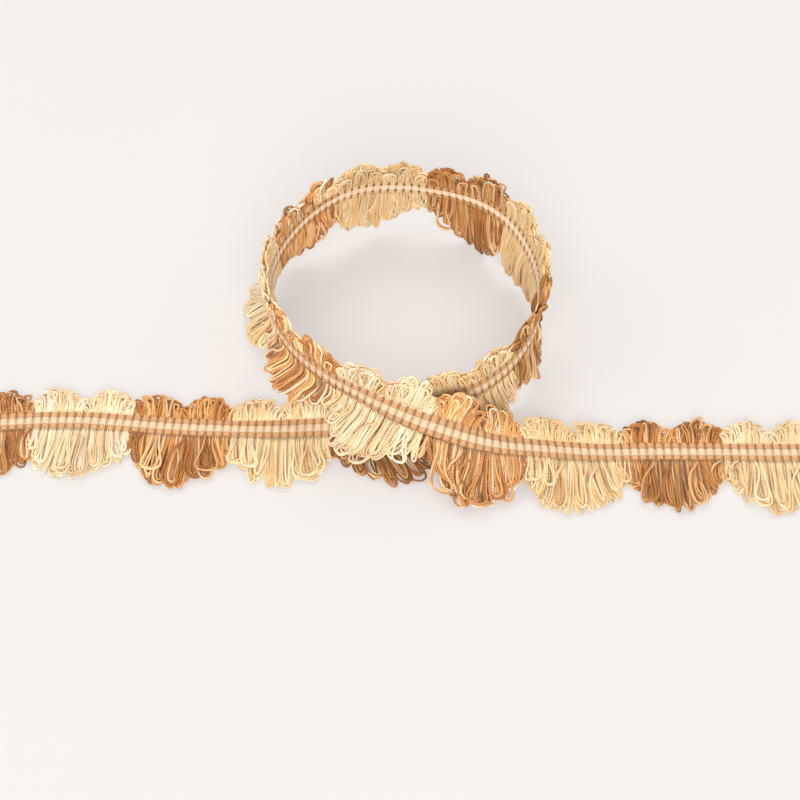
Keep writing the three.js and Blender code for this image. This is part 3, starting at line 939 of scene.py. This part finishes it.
def yarn_piece(name, loops, surface, tints, chance, material):
    """One piece of yarns, laid on their drape."""
    paths, facing = on_drape(surface, *loops)
    radius = YARN_RADIUS * chance.uniform(*RADIUS_SPREAD, len(paths))
    points, walls, caps, tint, uv = tubes(paths, facing, radius, tints)
    return mesh_object(name, points, [walls, caps], material, tint, uv)


# The trim
FIRST_SEED = 5
# How far the drapes go, beside the reach of their yarn
FAN_DRAPE_REACH = 1.08
SCALLOP_DRAPE_REACH = 1.1
FAN_DRAPE = drape(1, HIND_ROOT, FAN_REACH * FAN_DRAPE_REACH)
SCALLOP_DRAPE = drape(-1, SCALLOP_ROOT, SCALLOP_REACH * SCALLOP_DRAPE_REACH)
KINDS = (("fan", fan_loops, FAN_DRAPE), ("scallop", scallop_loops, SCALLOP_DRAPE))
cream_yarn = yarn_material("cream_yarn")
caramel_yarn = yarn_material("caramel_yarn")

for fan in range(FAN_COUNT):
    caramel = fan % 2 == 0
    palette = CARAMEL_YARNS if caramel else CREAM_YARNS
    spread = CARAMEL_SPREAD if caramel else CREAM_SPREAD
    material = caramel_yarn if caramel else cream_yarn
    number = f"{fan + 1:02d}"
    for kind, make, surface in KINDS:
        chance = np.random.default_rng(fan * 2 + (kind == "fan") + FIRST_SEED)
        loops = make(fan, chance)
        # Painted light: each fan's yarn is lightened or darkened for how it faces the lamps, beside
        # its own tone
        shade = FAN_TONE_AND_PAINTED_LIGHT[fan] * (SCALLOP_TONE_AND_PAINTED_LIGHT.get(fan, 1) if kind == "scallop" else 1)
        # Painted light: warmth stands partly for light shining through the yarn, beside its own dye
        shades = shade * (1 - WARMING * FAN_WARMTH_AND_PAINTED_LIGHT[fan])
        tints = np.minimum(yarn_tints(chance, palette, len(loops[0]), spread) * shades, LIGHTEST)
        piece = yarn_piece(f"{kind}_yarn_{number}", loops, surface, tints, chance, material)
        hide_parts(f"{kind}_{number}")
        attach(piece, "root")

heading = heading_piece(heading_material())
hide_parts("heading")
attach(heading, "root")


# Floor, light and camera
def emitting_area(name, size, power, place):
    """A square soft light that faces the trim."""
    light = bpy.data.lights.new(name, "AREA")
    light.shape = "SQUARE"
    light.size = size
    light.energy = power
    lamp = bpy.data.objects.new(name, light)
    lamp.location = place
    lamp.rotation_euler = (-Vector(place)).to_track_quat("-Z", "Y").to_euler()
    bpy.context.scene.collection.objects.link(lamp)


# Light from the lit table below the pale paper, which keeps the shadows faint
FLOOR_GLOW = 0.4
FLOOR_GLOW_COLOUR = (1.0, 0.955, 0.93, 1)
FLOOR_HALF = 4.0
FLOOR_ROUGHNESS = 0.9
FLOOR_MOTTLE = 9.0
FLOOR_MOTTLE_DETAIL = 3.0
FLOOR_COLOURS = ((0.352, 0.336, 0.327, 1), (0.368, 0.352, 0.342, 1))


def floor_piece():
    """A large pale sheet of paper, very slightly mottled."""
    mesh = bpy.data.meshes.new("floor")
    corners = [(-1, -1), (1, -1), (1, 1), (-1, 1)]
    mesh.from_pydata([(x * FLOOR_HALF, y * FLOOR_HALF, 0) for x, y in corners], [], [(0, 1, 2, 3)])
    material, tree, shader = principled("floor_paper", FLOOR_ROUGHNESS, 0.0)
    shader.inputs["Emission Color"].default_value = FLOOR_GLOW_COLOUR
    shader.inputs["Emission Strength"].default_value = FLOOR_GLOW
    colours = tree.nodes.new("ShaderNodeValToRGB")
    for element, colour in zip(colours.color_ramp.elements, FLOOR_COLOURS):
        element.color = colour
    tree.links.new(noise(tree, FLOOR_MOTTLE, Detail=FLOOR_MOTTLE_DETAIL), colours.inputs["Fac"])
    tree.links.new(colours.outputs["Color"], shader.inputs["Base Color"])
    mesh.materials.append(material)
    floor = bpy.data.objects.new("floor", mesh)
    bpy.context.scene.collection.objects.link(floor)
    return floor


WORLD_COLOUR = (1.0, 0.985, 0.97, 1)
WORLD_STRENGTH = 0.42
# Soft lights: name, side, power in watts and place
LIGHTS = (
    ("light_front", 1.3, 40.0, (0, -1.7, 1.19)),
    ("light_back", 1.0, 10.0, (0, 1.0, 1.2)),
    ("light_left", 1.0, 5.0, (-0.9, 0, 1.0)),
    ("light_right", 1.0, 3.0, (0.9, 0, 1.0)),
)

floor_piece()
world = bpy.data.worlds.new("studio")
world.use_nodes = True
background = world.node_tree.nodes["Background"]
background.inputs["Color"].default_value = WORLD_COLOUR
background.inputs["Strength"].default_value = WORLD_STRENGTH
bpy.context.scene.world = world
for light in LIGHTS:
    emitting_area(*light)
bpy.context.scene.view_settings.view_transform = "Standard"

CAMERA_TARGET = Vector((9.6 * MM, -18.4 * MM, 0))
CAMERA_DISTANCE = 0.830
CAMERA_ELEVATION = math.radians(49.16)
CAMERA_LENS = 95.8
CAMERA_SENSOR = 36.0
camera_data = bpy.data.cameras.new("camera")
camera_data.lens = CAMERA_LENS
camera_data.sensor_width = CAMERA_SENSOR
camera = bpy.data.objects.new("camera", camera_data)
camera_back = Vector((0, -math.cos(CAMERA_ELEVATION), math.sin(CAMERA_ELEVATION)))
camera.location = CAMERA_TARGET + camera_back * CAMERA_DISTANCE
camera.rotation_euler = (-camera_back).to_track_quat("-Z", "Y").to_euler()
bpy.context.scene.collection.objects.link(camera)
bpy.context.scene.camera = camera
